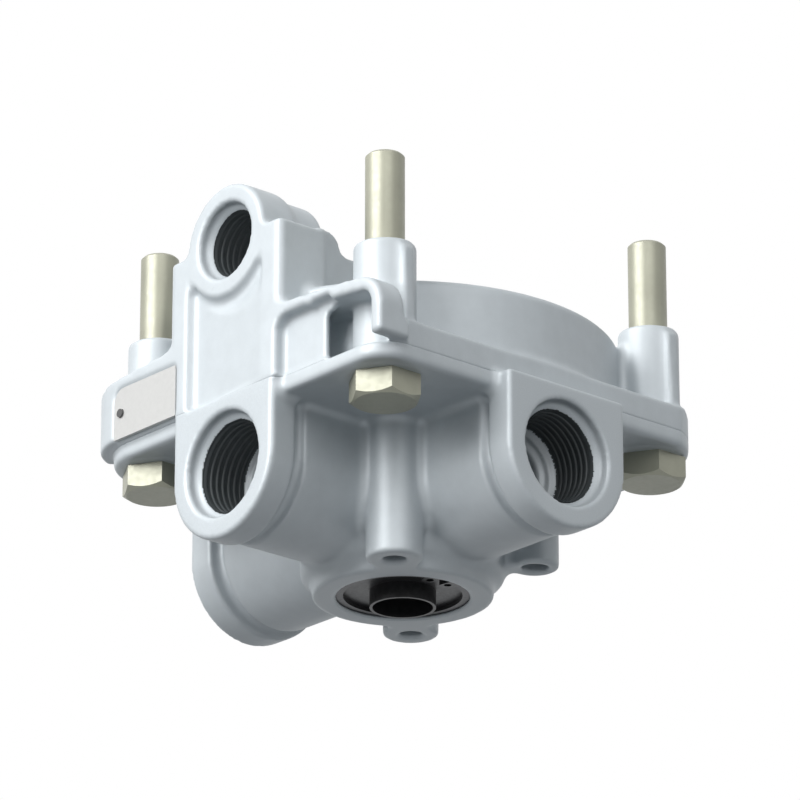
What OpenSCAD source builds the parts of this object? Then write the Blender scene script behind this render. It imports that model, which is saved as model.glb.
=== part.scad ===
// Air brake relay valve: two light-alloy castings clamped by four long bolts.
// Origin on the valve axis, in the face of the exhaust port. +Z up, millimetres.
// The control port looks to -Y, above the supply port. The delivery ports look to +X and -X.

/* [Bolts] */
// Distance between neighbouring bolts
bolt_pitch = 72; // [71:0.5:73]
// Diameter of the bolt shank
bolt_d = 8; // [7:0.5:8.5]
// Width across the flats of the bolt head
head_af = 13; // [11:0.5:14]
// Height of the bolt head
head_h = 5.2; // [4:0.1:6]
// Length of bolt that stands above the bosses
stud_reach = 19.8; // [10:0.5:30]
// Radial clearance round a bolt in its hole
bolt_gap = 0.35; // [0.2:0.05:0.6]

/* [Joint plane and flange] */
// Height of the joint between the castings above the exhaust face
joint_z = 32.3; // [31:0.1:36]
// Distance from the drum out to the side faces of the flange
side_land = 5; // [4.5:0.5:8]
// Distance from the drum out to the front face
front_land = 3; // [2.5:0.5:5]
// Distance from the drum out to the rear edge of the flange
rear_land = 1; // [0.5:0.5:4]
// Thickness of the lower casting's flange
lower_flange_t = 3.4; // [3.2:0.1:5]
// Thickness of the upper casting's flange
upper_flange_t = 3.3; // [2.5:0.1:5]
// Radius of the rear corners of the flange
rear_corner_r = 23.3; // [22.5:0.1:23.5]
// Distance from the flange's sides in to the centres of the rear corners
rear_corner_in = 22.2; // [21.6:0.1:22.4]
// Radius of the front corner below the name plate
plate_corner_r = 15.9; // [12:0.1:16.5]
// Radius of the lower casting's front corner below the window
window_corner_r = 7.5; // [6:0.5:9]
// Radius of the upper casting's corner over it
hood_corner_r = 1; // [0.5:0.5:2]
// Radius rolled along the lower edge of the flange at its sides
side_roll_r = 2.9; // [1:0.1:2.9]
// Radius rolled along the lower edge of the flange at its front and back
front_roll_r = 1.6; // [0.6:0.1:2.9]
// Height of the raised faces under the bolt heads
spot_h = 0.3; // [0.2:0.1:0.6]
// Radius of the raised faces under the bolt heads
spot_r = 8; // [7.8:0.1:8.6]

/* [Drum] */
// Outer radius of the piston drum
drum_r = 45; // [44.5:0.1:46]
// Radius of the piston bore
bore_r = 42; // [41:0.1:42.4]
// Height of the drum's top face
drum_top_z = 52.4; // [52:0.1:54]
// Thickness of the drum's roof
roof_t = 3; // [2.5:0.1:3.2]
// Radius rolled round the drum's upper rim
drum_roll_r = 1.6; // [0.5:0.1:2.5]

/* [Bosses] */
// Radius of the bolt bosses
boss_r = 6.3; // [6:0.1:6.8]
// Height of the boss faces that meet a bracket
boss_top_z = 56.5; // [56:0.1:60]
// Distance from a bolt to the outer face of the rib on its boss
boss_rib_reach = 7.4; // [7:0.1:8.5]
// Thickness of the rib on a boss
boss_rib_t = 2.8; // [2:0.2:4]

/* [Threaded ports] */
// Height of the port axes
port_z = 18; // [17.5:0.1:19]
// Diameter of a port at its mouth
port_d = 22; // [20:0.5:24]
// Diameter of the port bore behind the mouth
port_bore_d = 19; // [18:0.2:20]
// Depth of the wide mouth
port_mouth_t = 2.3; // [1.5:0.1:3]
// Depth of the cone between the mouth and the bore
port_cone_t = 0.7; // [0.4:0.1:1]
// Depth of the port bore
port_depth = 14; // [12:0.5:15]
// Diameter of the stepped seat at the bottom of a port
port_step_d = 15.6; // [14:0.2:16]
// Depth of the stepped seat
port_step_t = 1.4; // [1:0.1:2.4]
// Diameter of the passage that leads on from a port
passage_d = 12.4; // [10:0.2:13]
// Radius of the port pads
pad_r = 15.6; // [14.5:0.1:16]
// Thickness of the port pads
pad_t = 6.6; // [5:0.1:7]
// Radius of the arm behind a pad
arm_r = 14.7; // [14:0.1:15]
// Radius at the bottom of the groove behind a pad
groove_r = 12.8; // [12:0.1:13.4]
// Width of the groove behind a pad
groove_w = 3; // [1.5:0.1:3.4]

/* [Control port] */
// Height of the control port axis
control_z = 66.2; // [65.5:0.1:67]
// Diameter of the control port at its mouth
control_d = 16.2; // [15:0.2:18]
// Diameter of the control bore behind the mouth
control_bore_d = 13.8; // [13:0.2:14.4]
// Depth of the control port's mouth
control_mouth_t = 2; // [1.5:0.1:2.6]
// Depth of the cone between its mouth and its bore
control_cone_t = 1; // [0.4:0.1:1.2]
// Depth of the control port bore
control_depth = 13; // [12:0.5:14]
// Diameter of the round boss at the control port
control_boss_d = 24; // [22:0.5:25]
// Diameter of the passage from the control port to the drum
pilot_d = 5; // [4:0.5:5.5]

/* [Tower] */
// Half width of the tower
tower_half_w = 17.6; // [17:0.1:18]
// Depth of the tower from front to back
tower_depth = 12; // [11:0.5:13]
// Height of the tower's shoulders
tower_top_z = 66; // [65:0.1:67]
// Radius on the tower's upright edges
tower_edge_r = 1.6; // [0.8:0.1:2]
// Depth of the sunk panel under the control port
panel_t = 2; // [1:0.1:2.4]
// Width of the strips left standing at the sides of the panel
strip_w = 5.8; // [5:0.1:6.5]

/* [Hood over the windows] */
// Height of the hood's top beside the tower
hood_top_z = 47.4; // [46.5:0.1:48]
// Height of the hood's top at its ends
hood_end_z = 45.3; // [45:0.1:46]
// Distance from the flange's side in to the hood's side wall
hood_inset = 1.6; // [1:0.1:2.4]
// Thickness of the band round the window
band_t = 3; // [2.4:0.1:3.2]
// Depth of the window's shallow end
window_shallow_t = 2.6; // [2:0.1:4]
// Distance from the axis to the window's deep end
window_step_x = 31; // [30:0.5:33]
// Distance from the axis to the window's near edge
window_near_x = 19.8; // [19.5:0.1:21]
// Thickness of the hood's side wall beside the window
window_wall_t = 3.2; // [3:0.1:3.8]
// Thickness of the thin wall at the back of the window's shallow end
window_lip_t = 1.4; // [1:0.1:2]

/* [Name plate] */
// Width of the name plate
plate_w = 20; // [18:0.2:20.6]
// Height of the name plate
plate_h = 10.9; // [10:0.1:11.4]
// Thickness of the name plate
plate_t = 0.8; // [0.6:0.1:1]
// Gap round the name plate in its recess
plate_gap = 0.3; // [0.2:0.05:0.5]
// Radius of the pin that holds the name plate
plate_pin_r = 0.9; // [0.7:0.1:1.1]

/* [Exhaust] */
// Outer diameter of the exhaust ring
ring_d = 37.2; // [36.8:0.2:38]
// Diameter of the exhaust bore
exhaust_d = 26.6; // [26.4:0.1:27.4]
// Radius of the casting's body above the ring
body_r = 21; // [20.5:0.1:22]
// Height of the exhaust ring
ring_h = 3; // [2:0.2:4]
// Radius from the axis to the two exhaust lugs
lug_pitch_r = 23.9; // [23.5:0.1:24.5]
// Radius of an exhaust lug and its column
lug_r = 5.8; // [5.4:0.1:6.2]
// Diameter of the hole in a lug
lug_hole_d = 4.7; // [4:0.1:5.5]
// Depth of the hole in a lug
lug_hole_t = 12; // [8:0.5:14]
// Radius from the axis to the side leg
leg_pitch_r = 27; // [26.6:0.1:27.6]
// Radius of the side leg
leg_r = 4.95; // [4.5:0.05:5.4]
// Diameter of the hole in the side leg
leg_hole_d = 5.5; // [4.5:0.1:6.5]
// Height of the side leg's face
leg_z = 5.7; // [4:0.1:8]

/* [Valve] */
// Height of the inlet seat
seat_z = 23; // [22.6:0.1:23.4]
// Radius of the hole through the inlet seat
seat_r = 9; // [8.4:0.1:9.4]
// Opening travel of the inlet valve
valve_lift = 3; // [1.5:0.1:3.4]
// Gap between the piston stem and the valve at rest
exhaust_gap = 1.5; // [0.8:0.1:1.6]
// Outer radius of the valve tube
tube_r = 6.1; // [5.9:0.05:6.2]
// Bore radius of the valve tube
tube_bore_r = 4.3; // [3.8:0.1:4.5]
// Radius of the valve head
valve_head_r = 12.2; // [11.8:0.1:12.4]
// Thickness of the rubber on the valve head
rubber_t = 2.4; // [1.8:0.1:2.8]
// Radial clearance of the valve tube in its guide
tube_gap = 0.1; // [0.06:0.01:0.1]
// Wire diameter of the valve spring
wire_d = 1.5; // [1.2:0.1:1.6]
// Number of turns of the valve spring
spring_turns = 4.5; // [3.5:0.5:5.5]

/* [Piston] */
// Radial clearance of the piston in its bore
piston_gap = 0.1; // [0.06:0.01:0.1]
// Height of the piston's rim
piston_rim_h = 7.4; // [7:0.1:7.8]
// Thickness of the piston's crown
crown_t = 3; // [2.5:0.1:3.5]
// Outer radius of the piston stem
stem_r = 6.6; // [6.2:0.1:7]
// Bore radius of the piston stem
stem_bore_r = 4.6; // [4.2:0.1:4.8]
// Section of the piston's seal ring
piston_seal_t = 2.6; // [2:0.1:3]

/* [Hidden] */
$fn = 72;
eps = 0.01;
seal_gap = 0.05;
half_pitch = bolt_pitch / 2;
flange_side = drum_r + side_land;
flange_front = drum_r + front_land;
flange_back = drum_r + rear_land;
rear_corner_x = flange_side - rear_corner_in;
bolt_hole_r = bolt_d / 2 + bolt_gap;
head_z = joint_z - lower_flange_t - spot_h;
bolt_tip = 0.5;
shank_relief = 0.4;
head_chamfer = 0.35;
stud_z = boss_top_z + 0.4;
flange_under_z = joint_z - lower_flange_t;
roof_z = drum_top_z - roof_t;
exhaust_r = exhaust_d / 2;

// Joint between the castings: a seal ring in a groove round the piston bore
joint_recess_r = bore_r - 4;
joint_recess_t = 1.2;
joint_seal_t = 1.9;
joint_seal_r = (bore_r + drum_r) / 2 + 0.3;
joint_groove_t = 1.5;

// Inlet seat, with the supply chamber below it and the delivery chamber above it
seat_nose_t = 1.2;
chamber_r = 16.4;
chamber_roof_z = seat_z + seat_nose_t;
delivery_r = 18;
delivery_z = chamber_roof_z + 2.4;
supply_end = chamber_r - 2;

// Upright slot that leads from a delivery port up to the joint
riser_x = chamber_r + 3.6;
riser_l = 10;
riser_w = 11;

// Webs that join the exhaust lugs to the ring
lug_web_w = 8.8;

// Groove of the snap ring, and the ring's eyes
snap_z = 0.6;
snap_t = 1;
snap_depth = 0.9;
snap_gap = 0.03;
snap_in_r = exhaust_r - 1.1;
snap_eye_r = 1.7;
snap_eye_hole_r = 0.8;
snap_eye_angle = 12;
snap_gap_angle = 6;

// Hood and windows
hood_side_x = flange_side - hood_inset;
hood_side_t = 6.5;
hood_t = 10;
hood_end_r = 5;
hood_set_y = flange_front - hood_side_t;
window_far_x = hood_side_x - window_wall_t;
window_r = 3;
window_deep_t = hood_t - 1.2;
window_notch_x = 27;
window_notch_w = 6;
window_notch_h = 2.2;

// Name plate in its recess
plate_under = 2.2;
plate_x = plate_under - tower_half_w - plate_w / 2;
plate_z = joint_z + plate_gap + plate_h / 2;
plate_back_gap = 0.2;
plate_pocket_t = plate_t + plate_back_gap;
plate_pin_in = 2.2;
plate_pin_x = plate_x - plate_w / 2 + plate_pin_in;
plate_pin_gap = 0.05;
plate_chip_r = 3;

// Distance from the bottom of the control port back to the passage down to the drum
pilot_set = 0.8;

// Steps behind the control port: two round bars and two blocks
bar_l = 11.6;
bar_nose_r = 4;
slim_bar_step = 1.1;
slim_bar_l = 18;
slim_bar_nose_r = 1.5;
block_top_rise = 0.8;
block_l = 6;
low_block_drop = 3.7;
low_block_l = 13;
block_roll_r = 3.5;
rib_taper = 0.8;
rib_chamfer = 2;

// Piston at rest against its stop under the roof
piston_low_z = joint_z + valve_lift + exhaust_gap + 0.8;
piston_top_z = piston_low_z + piston_rim_h;
piston_r = bore_r - piston_gap;
piston_rim_t = 5;
stem_low_z = seat_z + exhaust_gap;
stop_r = 12;
stop_t = 3;
stop_gap = 0.05;

// Valve head and tube
head_t = 2;
head_low_z = seat_z - rubber_t - head_t;
tube_low_z = 2.5;
disc_lip_t = 0.8;
disc_edge_t = 1;
retainer_t = 0.6;
retainer_lip_t = 0.4;
spring_mean_r = 10.2;

// Guide of the valve tube
guide_top_z = 12;
guide_floor_z = 3.6;
guide_wall = 1.9;
guide_gap = 0.06;
guide_reach = 1.9;
guide_tube_r = 6.8;
guide_sleeve_r = 8.6;
guide_seal_t = 1.8;
guide_seal_w = 1.6;
guide_seal_z = 7;
outer_seal_t = 2;
outer_seal_z = 7.4;
outer_groove_t = 1.3;
retaining_t = 0.8;
retaining_gap = 0.3;

// Places a child at each of the four bolts
module at_bolts() {
    for (sx = [-1, 1], sy = [-1, 1]) translate([sx * half_pitch, sy * half_pitch, 0]) children();
}

// Plan outline of the flange, with its window corner at radius window_r
module flange_plan(window_r) {
    x = flange_side;
    r1 = window_r;
    r2 = rear_corner_r;
    r3 = plate_corner_r;
    crease_y = flange_back - r2 + sqrt(r2 * r2 - (x - rear_corner_x) * (x - rear_corner_x));
    polygon([[x - r1, -flange_front], [x, r1 - flange_front], [x, crease_y],
             [rear_corner_x, flange_back], [-rear_corner_x, flange_back], [-x, crease_y],
             [-x, r3 - flange_front], [r3 - x, -flange_front]]);
    translate([x - r1, r1 - flange_front]) circle(r1);
    translate([r3 - x, r3 - flange_front]) circle(r3);
    intersection() {
        translate([-x, 0]) square([2 * x, flange_back]);
        for (side = [-1, 1]) translate([side * rear_corner_x, flange_back - r2]) circle(r2);
    }
}

// Section of a plate whose two lower corners are rolled, from -half_a to half_b
module rolled_section(half_a, half_b, h, r) {
    translate([-half_a, r]) square([half_a + half_b, h - r]);
    translate([r - half_a, 0]) square([half_a + half_b - 2 * r, h]);
    translate([r - half_a, r]) circle(r);
    translate([half_b - r, r]) circle(r);
}

// Plate of the lower flange, its lower edge rolled along the front, the back and the sides
module rolled_flange(h) {
    reach = flange_side + flange_front;
    intersection() {
        linear_extrude(h) flange_plan(window_corner_r);
        translate([0, reach, 0]) rotate([90, 0, 0]) linear_extrude(2 * reach)
            rolled_section(flange_side, flange_side, h, side_roll_r);
        translate([-reach, 0, 0]) rotate([90, 0, 90]) linear_extrude(2 * reach)
            rolled_section(flange_front, flange_back, h, front_roll_r);
    }
}

// Outline of a port seen from outside: a half disc with straight sides that end at top
module port_outline(r, top) {
    intersection() {
        circle(r);
        translate([-r, -r]) square([2 * r, r + top]);
    }
    translate([-r, 0]) square([2 * r, top]);
}

// A length of port arm along +X, from distance a to distance b from the axis
module arm_length(a, b, r, top) {
    translate([a, 0, port_z]) rotate([90, 0, 90]) linear_extrude(b - a) port_outline(r, top - port_z);
}

// One port arm with its pad and the groove behind the pad
module port_arm(reach) {
    back = reach - pad_t;
    inner = back - groove_w;
    arm_length(back, reach, pad_r, joint_z);
    arm_length(inner - eps, back + eps, groove_r, flange_under_z + lower_flange_t / 2);
    arm_length(0, inner, arm_r, flange_under_z + lower_flange_t / 2);
}

// Mouth, cone and threaded bore of a port, cut from its face inward
module port_bore(reach, mouth_d, bore_d, mouth_t, cone_t, depth) {
    translate([reach, 0, 0]) rotate([0, -90, 0]) {
        translate([0, 0, -eps]) cylinder(d = mouth_d, h = mouth_t + eps);
        translate([0, 0, mouth_t]) cylinder(d1 = mouth_d, d2 = bore_d, h = cone_t);
        cylinder(d = bore_d, h = depth);
    }
}

// A large port with the stepped seat and the passage behind it, which ends end_x from the axis
module deep_port_bore(reach, end_x) {
    port_bore(reach, port_d, port_bore_d, port_mouth_t, port_cone_t, port_depth);
    translate([reach, 0, 0]) rotate([0, -90, 0]) cylinder(d = port_step_d, h = port_depth + port_step_t);
    translate([end_x, 0, 0]) rotate([0, 90, 0]) cylinder(d = passage_d, h = reach - port_depth - end_x);
}

// Turned shape of the lower casting's middle
module body_turned() {
    roll = body_r - ring_d / 2;
    rotate_extrude() {
        square([ring_d / 2, ring_h + roll]);
        translate([0, ring_h + roll]) square([body_r, flange_under_z + 1 - ring_h - roll]);
        translate([body_r - roll, ring_h + roll]) circle(roll);
    }
}

// Column with a screw hole at its foot
module foot_column(angle, pitch_r, r, z) {
    rotate(angle) translate([pitch_r, 0, z]) cylinder(r = r, h = flange_under_z + 1 - z);
}
module foot_hole(angle, pitch_r, d, z) {
    rotate(angle) translate([pitch_r, 0, z - eps]) cylinder(d = d, h = lug_hole_t);
}

// Turned cavities of the lower casting, from the exhaust bore up to the joint
module lower_cavities() {
    translate([0, 0, -eps]) cylinder(r = exhaust_r, h = guide_top_z + 2 * eps);
    translate([0, 0, snap_z]) cylinder(r = exhaust_r + snap_depth, h = snap_t);
    difference() {
        translate([0, 0, guide_top_z]) cylinder(r = chamber_r, h = chamber_roof_z - guide_top_z);
        translate([0, 0, seat_z]) cylinder(r = seat_r + seat_nose_t, h = chamber_roof_z);
    }
    translate([0, 0, seat_z - eps]) cylinder(r = seat_r, h = delivery_z - seat_z + 2 * eps);
    translate([0, 0, delivery_z]) cylinder(r = delivery_r, h = joint_z);
    translate([0, 0, joint_z - joint_recess_t]) cylinder(r = joint_recess_r, h = joint_z);
}

module lower_housing() {
    color("lightslategray") difference() {
        union() {
            translate([0, 0, flange_under_z]) rolled_flange(lower_flange_t);
            for (a = [0, 180]) rotate(a) port_arm(flange_side);
            rotate(-90) port_arm(flange_front);
            body_turned();
            for (a = [-45, 135]) {
                foot_column(a, lug_pitch_r, lug_r, 0);
                rotate(a) translate([0, -lug_web_w / 2, 0]) cube([lug_pitch_r, lug_web_w, ring_h]);
            }
            foot_column(45, leg_pitch_r, leg_r, leg_z);
            at_bolts() translate([0, 0, head_z]) cylinder(r = spot_r, h = spot_h + 1);
        }
        lower_cavities();
        for (a = [0, 180]) rotate(a) {
            translate([0, 0, port_z]) deep_port_bore(flange_side, riser_x + riser_l / 2);
            translate([riser_x, -riser_w / 2, port_z - passage_d / 2]) cube([riser_l, riser_w, joint_z]);
        }
        rotate(-90) translate([0, 0, port_z]) deep_port_bore(flange_front, supply_end);
        for (a = [-45, 135]) foot_hole(a, lug_pitch_r, lug_hole_d, 0);
        foot_hole(45, leg_pitch_r, leg_hole_d, leg_z);
        at_bolts() cylinder(r = bolt_hole_r, h = joint_z + 1);
        translate([0, 0, joint_z - joint_groove_t]) difference() {
            cylinder(r = joint_seal_r + joint_seal_t / 2 + seal_gap, h = joint_groove_t + 1);
            translate([0, 0, -1])
                cylinder(r = joint_seal_r - joint_seal_t / 2 - seal_gap, h = joint_groove_t + 3);
        }
    }
}

// Front view of the hood over the window, with its top falling away from the tower
module hood_front() {
    r = hood_end_r;
    x = hood_side_x;
    polygon([[-flange_side, joint_z], [x, joint_z], [x, hood_end_z - r], [x - r, hood_end_z],
             [tower_half_w, hood_top_z], [-tower_half_w, hood_top_z],
             [r - flange_side, hood_end_z], [-flange_side, hood_end_z - r]]);
    translate([x - r, hood_end_z - r]) circle(r);
    translate([r - flange_side, hood_end_z - r]) circle(r);
}

// A front view drawn in X and Z, made solid from the front face back by depth
module from_front(depth, proud = 0) {
    translate([0, depth - flange_front, 0]) rotate([90, 0, 0]) linear_extrude(depth + proud) children();
}

// Plan of the upper casting's flange, set in beside the hood
module upper_plan() {
    difference() {
        flange_plan(hood_corner_r);
        translate([hood_side_x, -2 * flange_front]) square([flange_side, 2 * flange_front - hood_set_y]);
    }
}

module hood() {
    intersection() {
        translate([0, 0, joint_z]) linear_extrude(hood_top_z) upper_plan();
        union() {
            from_front(hood_side_t) hood_front();
            intersection() {
                from_front(hood_t) hood_front();
                translate([-half_pitch - boss_r, -flange_side, 0])
                    cube([2 * (half_pitch + boss_r), flange_side, 2 * joint_z]);
            }
        }
    }
}

// Front view of the open window
module window_front() {
    r = window_r;
    x0 = window_near_x;
    x1 = window_far_x;
    top0 = hood_top_z - band_t;
    top1 = hood_end_z - band_t;
    polygon([[x0, joint_z], [x1, joint_z], [x1, top1 - r], [x1 - r, top1],
             [x0 + r, top0], [x0, top0 - r]]);
    translate([x0 + r, top0 - r]) circle(r);
    translate([x1 - r, top1 - r]) circle(r);
}

// Window with a small notch in its upper edge. Its shallow end has a thin wall, hollow behind.
module windows_cut() {
    from_front(window_shallow_t, 1) {
        window_front();
        translate([window_notch_x, hood_end_z - band_t])
            square([window_notch_w, window_notch_h]);
    }
    intersection() {
        from_front(window_deep_t, 1) window_front();
        union() {
            translate([window_step_x, -2 * flange_side, 0]) cube(2 * flange_side);
            translate([window_near_x + window_r, window_shallow_t + window_lip_t - flange_front, 0])
                cube(2 * flange_side);
        }
    }
}

// Front view of the name plate, grown all round by grow
module plate_front(grow = 0) {
    r = plate_chip_r;
    w = plate_w / 2 + grow;
    h = plate_h / 2 + grow;
    translate([plate_x, plate_z]) {
        polygon([[-w, -h], [w, -h], [w, h], [r - w, h], [-w, h - r]]);
        translate([r - w, h - r]) circle(r);
    }
}

// Upright bar along Y with a rounded rear end
module nosed_bar(r, length, nose_r) {
    translate([0, -flange_front, control_z]) rotate([-90, 0, 0]) rotate_extrude() {
        square([r, length - nose_r]);
        square([r - nose_r, length]);
        translate([r - nose_r, length - nose_r]) circle(nose_r);
    }
}

// Block behind the tower with a rolled rear upper edge
module step_block(length, top) {
    r = block_roll_r;
    half_w = tower_half_w - slim_bar_step;
    translate([-half_w, tower_depth - flange_front - 1, 0]) rotate([90, 0, 90])
    linear_extrude(2 * half_w) {
        translate([0, roof_z + 1]) square([length - r, top - roof_z - 1]);
        translate([0, roof_z + 1]) square([length, top - roof_z - 1 - r]);
        translate([length - r, top - r]) circle(r);
    }
}

module tower() {
    w = tower_half_w;
    e = tower_edge_r;
    d = tower_depth;
    translate([0, -flange_front, joint_z]) linear_extrude(tower_top_z - joint_z) {
        translate([-w, e]) square([2 * w, d - e]);
        translate([e - w, 0]) square([2 * (w - e), d]);
        for (s = [-1, 1]) translate([s * (w - e), e]) circle(e);
    }
}

// Sunk panel of the tower, deepest at its left strip and round the port's boss
module panel_cut() {
    w = tower_half_w - strip_w;
    top = 2 * tower_top_z;
    translate([0, -flange_front, joint_z]) linear_extrude(top)
        polygon([[-w, -1], [-w, panel_t], [w, 0], [w, -1]]);
    intersection() {
        translate([0, -flange_front - eps, control_z]) rotate([-90, 0, 0])
            cylinder(r1 = control_boss_d / 2 + 7, r2 = control_boss_d / 2 + 1, h = panel_t);
        translate([-w, -flange_front - 1, joint_z]) cube([2 * w, 1 + 2 * panel_t, top]);
    }
}

// Rib on the outer side of a boss, side telling which way it points along X
module boss_rib(side) {
    x = boss_rib_reach;
    translate([0, boss_rib_t / 2, 0]) rotate([90, 0, 0]) linear_extrude(boss_rib_t)
        polygon([[0, joint_z], [side * (x + rib_taper), joint_z], [side * x, boss_top_z - rib_chamfer],
                 [side * (x - rib_chamfer), boss_top_z], [0, boss_top_z]]);
}

module upper_housing() {
    color("lightsteelblue") difference() {
        union() {
            difference() {
                union() {
                    translate([0, 0, joint_z]) linear_extrude(upper_flange_t) upper_plan();
                    hood();
                    tower();
                }
                windows_cut();
                panel_cut();
                from_front(plate_pocket_t, 1) plate_front(plate_gap);
            }
            rotate_extrude() {
                translate([0, joint_z]) square([drum_r, drum_top_z - joint_z - drum_roll_r]);
                translate([0, joint_z]) square([drum_r - drum_roll_r, drum_top_z - joint_z]);
                translate([drum_r - drum_roll_r, drum_top_z - drum_roll_r]) circle(drum_roll_r);
            }
            at_bolts() translate([0, 0, joint_z]) cylinder(r = boss_r, h = boss_top_z - joint_z);
            for (sx = [-1, 1], sy = [-1, 1]) translate([sx * half_pitch, sy * half_pitch, 0])
                boss_rib(sx);
            nosed_bar(control_boss_d / 2, bar_l, bar_nose_r);
            nosed_bar(control_boss_d / 2 - slim_bar_step, slim_bar_l, slim_bar_nose_r);
            step_block(block_l, tower_top_z + block_top_rise);
            step_block(low_block_l, tower_top_z - low_block_drop);
        }
        translate([0, 0, joint_z - 1]) cylinder(r = bore_r, h = roof_z - joint_z + 1);
        at_bolts() translate([0, 0, joint_z - 1]) cylinder(r = bolt_hole_r, h = boss_top_z);
        translate([0, 0, control_z]) rotate(-90)
            port_bore(flange_front, control_d, control_bore_d, control_mouth_t, control_cone_t,
                      control_depth);
        translate([0, control_depth - flange_front - pilot_d / 2 - pilot_set, roof_z - 1])
            cylinder(d = pilot_d, h = control_z - roof_z + 1);
    }
}

// Ring of rectangular section with rounded corners, centred on the axis
module seal_ring(r, w, h, z) {
    c = min(w, h) / 4;
    translate([0, 0, z]) rotate_extrude() translate([r - w / 2, 0]) {
        translate([c, 0]) square([w - 2 * c, h]);
        translate([0, c]) square([w, h - 2 * c]);
        for (u = [c, w - c], v = [c, h - c]) translate([u, v]) circle(c);
    }
}

module housing_seal() {
    color("dimgray") seal_ring(joint_seal_r, joint_seal_t, joint_groove_t, joint_z - joint_groove_t);
}

module relay_piston() {
    groove_r = piston_r - piston_seal_t;
    color("silver") rotate_extrude() difference() {
        union() {
            translate([0, piston_top_z - crown_t]) square([piston_r, crown_t]);
            translate([piston_r - piston_rim_t, piston_low_z]) square([piston_rim_t, piston_rim_h]);
            translate([stem_bore_r, stem_low_z]) square([stem_r - stem_bore_r, piston_top_z - stem_low_z]);
            translate([stop_r, piston_top_z - eps]) square([stop_t, roof_z - stop_gap - piston_top_z + eps]);
        }
        translate([groove_r, piston_low_z + (piston_rim_h - piston_seal_t) / 2 - seal_gap])
            square([piston_seal_t + 1, piston_seal_t + 2 * seal_gap]);
    }
}

module piston_seal() {
    w = piston_seal_t - 2 * seal_gap + piston_gap;
    color("dimgray") seal_ring(piston_r - piston_seal_t + seal_gap + w / 2, w, piston_seal_t,
                               piston_low_z + (piston_rim_h - piston_seal_t) / 2);
}

module valve_tube() {
    color("dimgray") rotate_extrude() {
        translate([tube_bore_r, tube_low_z]) square([tube_r - tube_bore_r, seat_z - tube_low_z - rubber_t]);
        translate([tube_bore_r, head_low_z]) square([valve_head_r - tube_bore_r, head_t]);
        translate([tube_bore_r, head_low_z]) square([disc_lip_t, head_t + rubber_t - disc_lip_t]);
    }
}

module valve_disc() {
    in_r = tube_bore_r + disc_lip_t;
    color("black") rotate_extrude() translate([in_r, seat_z - rubber_t])
        square([valve_head_r - disc_edge_t - in_r, rubber_t]);
}

module disc_retainer() {
    in_r = valve_head_r - disc_edge_t + seal_gap;
    out_r = valve_head_r + retainer_t;
    color("silver") rotate_extrude() {
        translate([in_r, seat_z - rubber_t]) square([out_r - in_r, rubber_t - retainer_lip_t]);
        translate([valve_head_r, head_low_z + retainer_lip_t])
            square([retainer_t, head_t + rubber_t - 2 * retainer_lip_t]);
    }
}

// Points of one wire ring of the spring, at angle a round the coil and height z
function wire_ring(a, z, mean_r, wire_r, sides) =
    [for (i = [0:sides - 1]) let (t = 360 * i / sides, r = mean_r + wire_r * cos(t))
        [r * cos(a), r * sin(a), z + wire_r * sin(t)]];

module valve_spring() {
    sides = 8;
    per_turn = 16;
    steps = round(spring_turns * per_turn);
    low = guide_floor_z + wire_d / 2;
    rise = head_low_z - guide_floor_z - wire_d;
    points = [for (k = [0:steps]) each wire_ring(360 * k / per_turn, low + rise * k / steps,
                                                 spring_mean_r, wire_d / 2, sides)];
    sides_faces = [for (k = [0:steps - 1], i = [0:sides - 1]) let (j = (i + 1) % sides)
        [k * sides + i, k * sides + j, (k + 1) * sides + j, (k + 1) * sides + i]];
    ends = [[for (i = [sides - 1:-1:0]) i], [for (i = [0:sides - 1]) steps * sides + i]];
    color("silver") polyhedron(points, concat(sides_faces, ends));
}

module valve_guide() {
    tube_in_r = tube_r + tube_gap;
    out_r = exhaust_r - guide_gap;
    floor_t = guide_floor_z - snap_z - snap_t;
    color("black") rotate_extrude() difference() {
        union() {
            translate([tube_in_r, -guide_reach])
                square([guide_tube_r - tube_in_r, guide_floor_z + guide_reach]);
            translate([tube_in_r, snap_z + snap_t]) square([out_r - tube_in_r, floor_t]);
            translate([out_r - guide_wall, snap_z + snap_t])
                square([guide_wall, guide_top_z - snap_z - snap_t]);
            translate([tube_in_r, snap_z + snap_t])
                square([guide_sleeve_r - tube_in_r, guide_seal_z + guide_seal_t - snap_z - snap_t]);
        }
        translate([0, guide_seal_z]) square([tube_in_r + guide_seal_w, guide_seal_t + 1]);
        translate([out_r - outer_groove_t, outer_seal_z - seal_gap])
            square([2 * outer_groove_t, outer_seal_t + 2 * seal_gap]);
    }
}

module guide_outer_seal() {
    w = outer_groove_t - seal_gap;
    color("dimgray") seal_ring(exhaust_r - guide_gap - w / 2, w, outer_seal_t, outer_seal_z);
}

module guide_inner_seal() {
    in_r = tube_r + seal_gap;
    out_r = tube_r + tube_gap + guide_seal_w - seal_gap;
    color("dimgray") seal_ring((in_r + out_r) / 2, out_r - in_r, guide_seal_t - seal_gap, guide_seal_z);
}

module seal_retainer() {
    color("silver") translate([0, 0, guide_seal_z + guide_seal_t]) difference() {
        cylinder(r = guide_sleeve_r, h = retaining_t);
        translate([0, 0, -1]) cylinder(r = tube_r + retaining_gap, h = retaining_t + 2);
    }
}

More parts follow.
